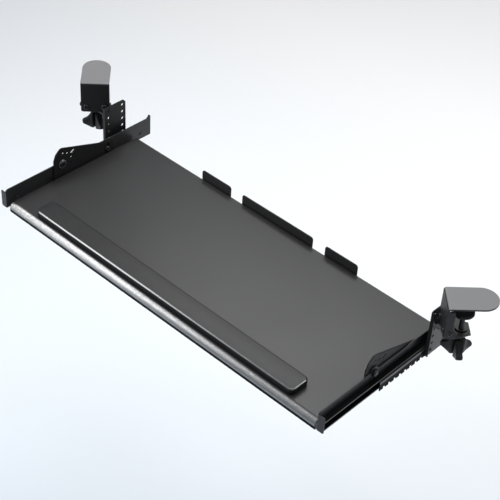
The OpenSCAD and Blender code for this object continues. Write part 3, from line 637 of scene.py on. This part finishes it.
class TRAY_OT_rest(TrayOperator, bpy.types.Operator):
    """Makes the padded wrist rest, with a drawn-in foot, rounded shoulders and a low crown"""
    bl_idname = "tray.rest"
    bl_label = "Wrist rest"
    corner = 0.009
    least_corner = 0.0004
    per_corner = 14
    per_side = 60
    # how far in from the widest line, and how far up from the foot
    foot_profile = ((0.0016, 0.0), (0.0009, 0.0003), (0.0004, 0.0011), (0.0001, 0.0026), (0.0, 0.0045))
    drawn_in = 0.0002
    edge_steps = 8
    # the crown's rise, its steps from the shoulder in, and half the width of the flat along its middle
    crown = 0.0007
    crown_steps = (0.1, 0.25, 0.45, 0.7, 0.9, 1.0)
    ridge = 0.0006
    # the skin's slight slack: depth, spread, two waves along X with one's shift, and height where it is full
    slack = 0.00018
    slack_spread = 4
    slack_waves = (71.0, 23.0, 0.8)
    slack_height = 0.008
    # where the side, the shoulder and the top each have their own finish; the sides and the rounding that
    # leans back or to the left are painted dark as shade
    shoulder_depth = 0.004
    side_level = 0.12
    top_level = 0.985
    lean = 0.1
    sharp_angle = 60

    def outline(self, half_x, half_y, radius):
        """Points round a rounded rectangle, with the long sides divided too."""
        points = []
        for q, (sx, sy) in enumerate(((1, 1), (-1, 1), (-1, -1), (1, -1))):
            for i in range(self.per_corner + 1):
                a = math.pi/2*(q + i/self.per_corner)
                points.append((sx*(half_x - radius) + radius*math.cos(a),
                               sy*(half_y - radius) + radius*math.sin(a)))
            if q in (0, 2):
                for i in range(1, self.per_side):
                    points.append(((half_x - radius)*sx*(1 - 2*i/self.per_side), sy*half_y))
        return points

    def rings(self, foot, top, half_y):
        """The pad's section, from its foot to its crown, as (how far in, height)."""
        edge = self.sizes.rest_edge
        shoulder = top - self.crown
        rings = [(inset, foot + up) for inset, up in self.foot_profile] + [(self.drawn_in, shoulder - edge)]
        for i in range(1, self.edge_steps + 1):
            a = math.pi/2*i/self.edge_steps
            rings.append((self.drawn_in + edge*(1 - math.cos(a)), shoulder - edge + edge*math.sin(a)))
        for t in self.crown_steps:
            up = (top - shoulder)*math.sin(t*math.pi/2)
            rings.append((edge + t*(half_y - edge - self.ridge), shoulder + up))
        return rings

    def execute(self, context):
        low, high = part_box("wrist_rest")
        mid, half = (low + high)/2, (high - low)/2
        foot, top = low.z, high.z
        rings = self.rings(foot, top, half.y)
        long_wave, longer_wave, shift = self.slack_waves
        verts = []
        for inset, z in rings:
            radius = max(self.corner - inset, self.least_corner)
            for x, y in self.outline(half.x - inset, half.y - inset, radius):
                slack = (self.slack*math.sin(x*long_wave + shift)*math.sin(x*longer_wave)
                         * min(1.0, (z - foot)/self.slack_height))
                verts.append((mid.x + x, mid.y + y*(1 + slack*self.slack_spread), z - abs(slack)))
        mesh = mesh_from("wrist_rest_pad", verts, ring_faces(len(rings), len(verts)//len(rings)))
        set_sharp(mesh, self.sharp_angle)
        pad = finish_piece("wrist_rest_pad", mesh, "wrist_rest", finish("rest_skin"))

        def rounded(poly):
            raised = poly.center.z > top - self.shoulder_depth
            return raised and self.side_level < poly.normal.z < self.top_level

        def shaded(poly):
            x, y, z = poly.normal
            away = y > self.lean or x < -self.lean and y > -self.lean
            return z <= self.side_level or z < self.top_level and away

        second_finish(pad, finish("rest_edge"), rounded)
        # the sides and the rear and left rounding are painted dark, as painted shade
        second_finish(pad, finish("rest_side"), shaded)
        return {"FINISHED"}


class TRAY_OT_sheets(TrayOperator, bpy.types.Operator):
    """Makes the bent sheet parts, with rounded edges"""
    bl_idname = "tray.sheets"
    bl_label = "Sheet metal"
    stops = ("stop_left", "stop_middle", "stop_right")
    pairs = ("tilt_bracket", "side_wall", "hanger_plate", "rail_bracket", "swivel_arm", "lower_jaw")
    # the rail brackets take a lighter colour as painted light
    coats = {"tilt_bracket": "inner_steel", "hanger_plate": "inner_steel", "rail_bracket": "bracket_steel"}
    # how much rounder the clamps' thicker plates are, and how level and how near the top a tongue's face is
    clamp_ease = 1.6
    tongue_level = 0.7
    tongue_depth = 0.0012

    def execute(self, context):
        edge = self.sizes.sheet_edge
        for node in self.stops + tuple(side + "_" + kind for side, _ in SIDES for kind in self.pairs):
            coat = self.coats.get(node.split("_", 1)[1], "black_steel")
            eased_sheet(node + "_sheet", node, edge, finish(coat))
        for side, _ in SIDES:
            plate = eased_sheet(side + "_clamp_plate", side + "_clamp_bracket", edge*self.clamp_ease,
                                finish("black_steel"))
            # the tongue's upper faces near its top take a lighter colour, painted light on the top
            tongue = max(v.co.z for v in plate.data.vertices) - self.tongue_depth
            second_finish(plate, finish("tongue_coat"),
                          lambda poly: poly.normal.z > self.tongue_level and poly.center.z > tongue)
        return {"FINISHED"}


class TRAY_OT_slides(TrayOperator, bpy.types.Operator):
    """Makes the slides: channels, rails, ball cages and balls"""
    bl_idname = "tray.slides"
    bl_label = "Slides"
    kinds = ("slide_channel", "fixed_rail", "ball_cage")
    edge = 0.00012
    # depth of the channels' lips from their outer face, and the height under which the rails have teeth,
    # painted near-black as shade
    lip_depth = 0.0003
    toothed = -0.0008
    ball_radius = 0.0012
    ball_rings = 12
    ball_sides = 20
    ball_sharp = 60
    balls_a_row = 4

    def execute(self, context):
        for side, _ in SIDES:
            for kind in self.kinds:
                # the channels are painted near-black, as painted shade inside them
                steel = "dull_black" if kind == "slide_channel" else "zinc_steel"
                node = side + "_" + kind
                piece = eased_sheet(node + "_section", node, self.edge, finish(steel), segments=1)
                if kind == "slide_channel":
                    lips = max(abs(v.co.x) for v in piece.data.vertices) - self.lip_depth
                    # the channels' outer lips take the lighter colour, a painted highlight along them
                    second_finish(piece, finish("bracket_steel"), lambda poly: abs(poly.center.x) > lips)
                if kind == "fixed_rail":
                    # the rails' toothed lower part is painted near-black, as painted shade inside the channel
                    second_finish(piece, finish("dull_black"), lambda poly: poly.center.z < self.toothed,
                                  self.toothed)
        low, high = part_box("slide_balls")
        r = self.ball_radius
        turns = [math.pi*i/self.ball_rings for i in range(1, self.ball_rings)]
        ball = ring_solid([(r*math.sin(a), -r*math.cos(a), "round") for a in turns], self.ball_sides)
        last = self.balls_a_row - 1
        ys = [low.y + r + (high.y - low.y - 2*r)*k/last for k in range(self.balls_a_row)]
        places = [((x, y, z), (0, 0, 1))
                  for x in (low.x + r, high.x - r) for z in (low.z + r, high.z - r) for y in ys]
        fixings("slide_ball_rows", "slide_balls", ball, places, finish("zinc_steel"), self.ball_sharp)
        return {"FINISHED"}


def on_sides(x, points, way):
    """Places at -x on the left and x on the right for each (y, z), facing out for way 1 and in for -1."""
    return [((s*x, y, z), (way*s, 0, 0)) for _, s in SIDES for y, z in points]


class TRAY_OT_fixings(TrayOperator, bpy.types.Operator):
    """Makes the screws, bolts, nuts and rivets"""
    bl_idname = "tray.fixings"
    bl_label = "Fixings"
    # node, then the x and y at which its screws stand on each side
    screw_rows = (("stop_screws", (0.068, 0.119, 0.164), (0.132,)),
                  ("tilt_bracket_screws", (0.3163, 0.331), (-0.032, 0.0812)))
    screw = Bolt(head=0.0036, height=0.0016, socket=0.0012, depth=0.0009, shank=0.0018, length=0.0020)
    pivot_bolt = Bolt(head=0.0068, height=0.0030, socket=0.0024, depth=0.0016, shank=0.0030, length=0.0094)
    lock_bolt = Bolt(head=0.0054, height=0.0023, socket=0.0020, depth=0.0013, shank=0.0030, length=0.0046)
    # radius, height and bore
    pivot_washer = (0.0080, 0.0010, 0.0028)
    pivot_nut = (0.0062, 0.0045, 0.0031)
    # how far the pivot's head stands off the bracket and its shank goes in, and the shank's chamfer
    pivot_lift, pivot_overlap, pivot_chamfer = 0.0003, 0.0001, 0.0003
    # y and z of the two bolts, then the faces in x that the fixings stand on
    pivot = (-0.0255, 0.0223)
    lock = (0.07722, 0.00603)
    bracket_face = 0.3457
    wall_outside = 0.3504
    wall_inside = 0.34825
    rail_face = 0.3589
    # y of the rivets and of the rails' bolts, then their shanks (radius, ends) and heads
    flush_ys = (0.0145,)
    raised_ys = (-0.1225, 0.159)
    rail_ys = (0.0945, 0.1265)
    rivet_shank = (0.0016, -0.0035, 0)
    flush_head = (0.00304, 0.0, 0.0001)
    raised_head = (0.0032, 0.0011, 0.0009, 0.0004)
    rail_inner_head = ((0.0024, -0.0014, "round"), (0.0031, -0.0010, "round"), (0.0031, 0.0, "round"))
    rail_shank = (0.0020, -0.0002, 0.0060)
    rail_head = (0.0031, 0.0014, 0.0011, 0.0007)
    rail_grip = 0.0058

    def execute(self, context):
        black, bright = finish("black_bolt"), finish("bright_bolt")
        screw = bolt_solid(self.screw)
        for node, xs, ys in self.screw_rows:
            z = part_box(node)[0].z + self.screw.height
            places = [((s*x, y, z), (0, 0, -1)) for _, s in SIDES for x in xs for y in ys]
            fixings(node + "_heads", node, screw, places, black)

        head = bolt_solid(self.pivot_bolt, self.pivot_lift, self.pivot_overlap, self.pivot_chamfer)
        ring = washer(*self.pivot_washer)
        for (side, _), place in zip(SIDES, on_sides(self.bracket_face, [self.pivot], -1)):
            fixings(side + "_pivot_bolt_head", side + "_pivot_bolt", head, [place], black)
            fixings(side + "_pivot_washer", side + "_pivot_bolt", ring, [place], bright)
        fixings("pivot_lock_nuts", "pivot_nuts", hex_nut(*self.pivot_nut),
                on_sides(self.wall_outside, [self.pivot], 1), black)
        fixings("lock_bolt_heads", "lock_bolts", bolt_solid(self.lock_bolt),
                on_sides(self.bracket_face, [self.lock], -1), black)

        low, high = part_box("channel_rivets")
        slide_z = (low.z + high.z)/2
        shank = rod(*self.rivet_shank)
        for kind, head, ys, material in (("flush", rod(*self.flush_head), self.flush_ys, bright),
                                         ("raised", dome(*self.raised_head), self.raised_ys, black)):
            fixings("channel_rivets_" + kind, "channel_rivets", merged(((shank, 0), (head, 0))),
                    on_sides(self.wall_inside, [(y, slide_z) for y in ys], -1), material)

        rail_bolt = merged(((ring_solid(self.rail_inner_head), 0), (rod(*self.rail_shank), 0),
                            (dome(*self.rail_head), self.rail_grip)))
        fixings("rail_bolt_rows", "rail_bolts", rail_bolt,
                on_sides(self.rail_face, [(y, slide_z) for y in self.rail_ys], 1), black)
        return {"FINISHED"}


def clamp_place(s):
    """Matrix from a clamp's own axes, with the screw at the origin and the desk towards +Y, to the frame."""
    low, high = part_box(("right" if s > 0 else "left") + "_clamp_pad")
    middle, turned_out = (low + high)/2, math.radians(45)
    return Matrix.Translation((middle.x, middle.y, 0)) @ Matrix.Rotation(-s*turned_out, 4, "Z")


class TRAY_OT_clamps(TrayOperator, bpy.types.Operator):
    """Makes the clamps' bolts, bushes, threaded screws, knobs and pads"""
    bl_idname = "tray.clamps"
    bl_label = "Clamps"
    # the bolts and where they stand, on the clamp's own axes
    jaw_bolt = Bolt(head=0.0052, height=0.0021, socket=0.0019, depth=0.0011, shank=0.0020, length=0.0058)
    jaw_bolt_at = (0.0158, -0.0301, 0.0734)
    side_bolt = Bolt(head=0.0038, height=0.0024, socket=0.0014, depth=0.0011, shank=0.0020, length=0.0052)
    side_bolt_at = (0.0251, -0.022, 0.0745)
    bush_edge = 0.0003
    pad_edge = 0.0006
    # the threaded screw: its chamfer, how much shorter the thread is, and its and the knob's sharp angles
    screw_chamfer = 0.0004
    thread_short = 0.0003
    thread_sharp = 50
    knob_sharp = 55
    # the knob's heights at its middle and at its arms' tips, and the curves between
    knob_low = 0.014
    knob_high = 0.045
    tip_high = 0.0275
    tip_rise = 0.009
    tip_sink = 0.0004
    top_curve = 2.6
    under_curve = 1.15
    # its outline: radii of the hub, the arms and the bites between them, the tips' roundness and a blend
    arms = 3
    hub = 0.0095
    reach = 0.026
    bite = 0.0265
    tip_round = 0.0012
    tip_half = 0.2
    blend = 0.0012
    # its rounded rim, and the rows of points on its faces as shares of the outline
    rim = 0.0012
    rim_steps = 4
    rim_out = 0.0001
    knob_count = 120
    knob_rows = (0.12, 0.35, 0.55, 0.72, 0.85, 0.93)

    def arm_reach(self, angle):
        """How far the knob's outline stands from its middle, at an angle from an arm."""
        span = 2*math.pi/self.arms
        off = abs((angle + span/2) % span - span/2)
        gap = span/2 - off
        d = self.hub + self.bite
        room = self.bite**2 - (d*math.sin(gap))**2
        flank = d*math.cos(gap) - math.sqrt(room) if room > 0 else math.inf
        tip = self.reach - self.tip_round*(off/self.tip_half)**2
        h = max(self.blend - abs(flank - tip), 0.0)/self.blend
        return min(flank, tip) - h*h*self.blend/4

    def share(self, r):
        """How far out a radius is, from 0 at the hub to 1 at the arms' tips."""
        return min(max((r - self.hub)/(self.reach - self.hub), 0.0), 1.0)

    def knob_top(self, r):
        t = self.share(r)
        fall = (self.knob_high - self.tip_high)*(1 - (1 - t)**self.top_curve)
        return self.knob_high - fall - self.tip_sink*t

    def knob_bottom(self, r):
        return self.knob_low + self.tip_rise*self.share(r)**self.under_curve

    def knob_point(self, kind, f, edge):
        """Radius and height of a point of a row, where the knob's outline stands at edge."""
        inner, rim = edge - self.rim, self.rim
        if kind != "rim":
            r = inner*f
            return r, self.knob_bottom(r) if kind == "low" else self.knob_top(r)
        low, high = self.knob_bottom(inner), self.knob_top(inner)
        if f == self.rim_steps:
            return edge + self.rim_out, (low + high)/2
        if f < self.rim_steps:
            t = math.pi/2*f/self.rim_steps
            return inner + rim*math.sin(t), low + rim*(1 - math.cos(t))
        t = math.pi/2*(f - self.rim_steps)/self.rim_steps
        return inner + rim*math.cos(t), high - rim*(1 - math.sin(t))

    def knob(self, turn):
        """Verts and faces of the knob, in rows from its foot over the rim to its top."""
        count = self.knob_count
        rows = [("low", f) for f in self.knob_rows] + [("rim", k) for k in range(2*self.rim_steps + 1)]
        rows += [("high", f) for f in reversed(self.knob_rows)]
        turns = [2*math.pi*i/count for i in range(count)]
        edges = [self.arm_reach(a - turn) for a in turns]
        verts = []
        for kind, f in rows:
            for a, edge in zip(turns, edges):
                r, z = self.knob_point(kind, f, edge)
                verts.append((r*math.cos(a), r*math.sin(a), z))
        return verts, ring_faces(len(rows), count)

    def execute(self, context):
        black, zinc, steel = finish("black_bolt"), finish("zinc_steel"), finish("black_steel")
        button, nub = bolt_solid(self.jaw_bolt), bolt_solid(self.side_bolt)
        for side, s in SIDES:
            place = clamp_place(s)

            def at(point, way):
                return tuple(place @ Vector(point)), tuple(place.to_3x3() @ Vector(way))

            x, y, z = self.jaw_bolt_at
            fixings(side + "_jaw_bolt_heads", side + "_jaw_bolts", button,
                    [at((k*x, y, z), (0, -1, 0)) for k in (-1, 1)], black)
            x, y, z = self.side_bolt_at
            fixings(side + "_jaw_side_bolts", side + "_jaw_bolts", nub,
                    [at((k*x, y, z), (k, 0, 0)) for k in (-1, 1)], black)
            eased_sheet(side + "_swivel_bush_turned", side + "_swivel_bush", self.bush_edge, steel)
            eased_sheet(side + "_swivel_nut_cut", side + "_swivel_nut", self.bush_edge, black)

            low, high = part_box(side + "_clamp_screw")
            radius, length, depth = (high.x - low.x)/2, high.z - low.z, self.sizes.thread_depth
            core = mesh_from(side + "_screw_core", *rod(radius - depth, 0, length, self.screw_chamfer))
            thread = run_tree(tree_named("Threaded Rod", thread_tree), core,
                              {"Radius": radius, "Pitch": self.sizes.thread_pitch,
                               "Length": length - self.thread_short, "Depth": depth, "Finish": zinc})
            thread.transform(Matrix.Translation(((low.x + high.x)/2, (low.y + high.y)/2, low.z)))
            set_sharp(thread, self.thread_sharp)
            finish_piece(side + "_clamp_screw_thread", thread, side + "_clamp_screw", zinc)

            knob = mesh_from(side + "_hand_knob", *self.knob(0 if s > 0 else math.pi))
            knob.transform(place)
            set_sharp(knob, self.knob_sharp)
            finish_piece(side + "_hand_knob", knob, side + "_clamp_knob", finish("knob_plastic"))
            eased_sheet(side + "_clamp_pad_disc", side + "_clamp_pad", self.pad_edge, steel)
            eased_sheet(side + "_pad_rubber_face", side + "_pad_rubber", self.pad_edge, finish("pad_rubber"),
                        segments=3)
        return {"FINISHED"}


def axes_at(place, x, y, z):
    """Matrix that stands an object at a place with its axes along x, y and z."""
    return Matrix.Translation(place) @ Matrix((x, y, z)).transposed().to_4x4()


class TRAY_OT_stage(TrayOperator, bpy.types.Operator):
    """Makes the floor, the soft lights, the world and the camera"""
    bl_idname = "tray.stage"
    bl_label = "Stage"
    eye = (1.1212, -1.1957, 1.3715)
    right = (0.7220, 0.6899, 0.0522)
    up = (-0.4673, 0.4307, 0.7721)
    ahead = (-0.5102, 0.5818, -0.6334)
    lens = 95.69
    floor_z = -0.68
    floor_half = 8
    floor_rough = 0.9
    floor_reach = (-1.2, 1.6)
    floor_colours = ((0.60, 0.69, 0.78, 1), (0.99, 0.99, 0.99, 1))
    world_colour = (0.90, 0.93, 0.97, 1)
    world_strength = 0.32
    # name, place, aim, the way its long side runs, length and width, power
    lamps = (
        ("key_lamp", (-0.55, 0.86, 1.4), (0.1, 0.0, 0.0), (0.9, 0.30, 0.0), (1.00, 0.8), 10.0),
        ("strip_lamp", (-1.40, -0.72, 1.50), (-0.2, -0.13, 0.0), (0.0, 0.93, 0.37), (2.5, 0.5), 18.5),
        ("low_strip_lamp", (-1.45, -1.70, 0.15), (-0.2, -0.13, 0.0), (0.0, -0.1, -1.0), (1.5, 0.5), 7.0),
        ("front_panel_lamp", (-1.125, -1.374, 0.84), (-0.1, -0.13, 0.0), (1.0, 0.0, 0.0), (0.75, 1.36), 7.0),
        ("front_strip_lamp", (-0.90, -0.88, 1.30), (0.0, -0.13, 0.0), (1.0, 0.0, 0.0), (1.3, 0.14), 3.2),
        ("fill_lamp", (2.2, -0.9, 1.2), (0.0, 0.0, 0.0), (0.0, 1.0, 0.0), (1.6, 1.6), 3.0),
        ("back_lamp", (1.1, 2.3, 2.4), (-1.0, 1.7, -0.68), (1.0, 0.0, 0.0), (2.0, 2.0), 50.0),
        ("top_lamp", (0.3, 0.2, 2.8), (0.0, 0.0, 0.0), (1.0, 0.0, 0.0), (2.0, 2.0), 22.0),
    )

    def make_floor(self):
        """A wide floor, cooler and darker towards the front."""
        half = self.floor_half
        corners = [(x*half, y*half, self.floor_z) for x, y in ((-1, -1), (1, -1), (1, 1), (-1, 1))]
        floor = in_scene("floor", mesh_from("floor", corners, [(0, 1, 2, 3)]))
        pale = bpy.data.materials.new("pale_floor")
        pale.use_nodes = True
        tree = pale.node_tree
        new, link = tree.nodes.new, tree.links.new
        shader = tree.nodes["Principled BSDF"]
        place, split, shade = new("ShaderNodeTexCoord"), new("ShaderNodeSeparateXYZ"), new("ShaderNodeMix")
        shade.data_type = "RGBA"
        shade.inputs[COLOUR_A].default_value, shade.inputs[COLOUR_B].default_value = self.floor_colours
        link(place.outputs["Object"], split.inputs[0])
        link(ramp(tree, split.outputs["Y"], self.floor_reach, (0.0, 1.0)), shade.inputs["Factor"])
        link(shade.outputs[COLOUR_OUT], shader.inputs["Base Color"])
        shader.inputs["Roughness"].default_value = self.floor_rough
        floor.data.materials.append(pale)

    def execute(self, context):
        scene = context.scene
        self.make_floor()
        for name, place, target, along, size, power in self.lamps:
            data = bpy.data.lights.new(name, "AREA")
            data.shape = "RECTANGLE"
            data.size, data.size_y = size
            data.energy = power
            back = (Vector(place) - Vector(target)).normalized()
            long_way = Vector(along)
            long_way = (long_way - back*long_way.dot(back)).normalized()
            in_scene(name, data).matrix_world = axes_at(place, long_way, back.cross(long_way), back)

        world = bpy.data.worlds.new("soft_room")
        world.use_nodes = True
        sky = world.node_tree.nodes["Background"]
        sky.inputs["Color"].default_value = self.world_colour
        sky.inputs["Strength"].default_value = self.world_strength
        scene.world = world

        data = bpy.data.cameras.new("camera")
        data.lens = self.lens
        data.sensor_width = 36.0
        data.clip_end = 20.0
        scene.camera = in_scene("camera", data)
        scene.camera.matrix_world = axes_at(self.eye, self.right, self.up, [-v for v in self.ahead])
        scene.view_settings.view_transform = "Standard"
        return {"FINISHED"}


OPERATORS = (TRAY_OT_board, TRAY_OT_rest, TRAY_OT_sheets, TRAY_OT_slides, TRAY_OT_fixings, TRAY_OT_clamps,
             TRAY_OT_stage)


class TRAY_PT_panel(bpy.types.Panel):
    """Lists the pieces, with their sizes and colours"""
    bl_idname = "TRAY_PT_panel"
    bl_label = "Keyboard Tray"
    bl_space_type = "VIEW_3D"
    bl_region_type = "UI"
    bl_category = "Keyboard Tray"

    def draw(self, context):
        for group in (context.scene.tray_sizes, context.scene.tray_colours):
            box = self.layout.box()
            for name in group.bl_rna.properties.keys():
                if name not in ("rna_type", "name"):
                    box.prop(group, name)
        for operator in OPERATORS:
            self.layout.operator(operator.bl_idname)


CLASSES = (TrayColours, TraySizes, *OPERATORS, TRAY_PT_panel)


def register():
    for cls in CLASSES:
        bpy.utils.register_class(cls)
    bpy.types.Scene.tray_colours = bpy.props.PointerProperty(type=TrayColours)
    bpy.types.Scene.tray_sizes = bpy.props.PointerProperty(type=TraySizes)


def unregister():
    del bpy.types.Scene.tray_sizes
    del bpy.types.Scene.tray_colours
    for cls in reversed(CLASSES):
        bpy.utils.unregister_class(cls)


def main():
    register()
    for operator in OPERATORS:
        group, name = operator.bl_idname.split(".")
        if getattr(getattr(bpy.ops, group), name)() != {"FINISHED"}:
            raise RuntimeError(operator.bl_label + " could not be made")


if __name__ == "__main__":
    main()
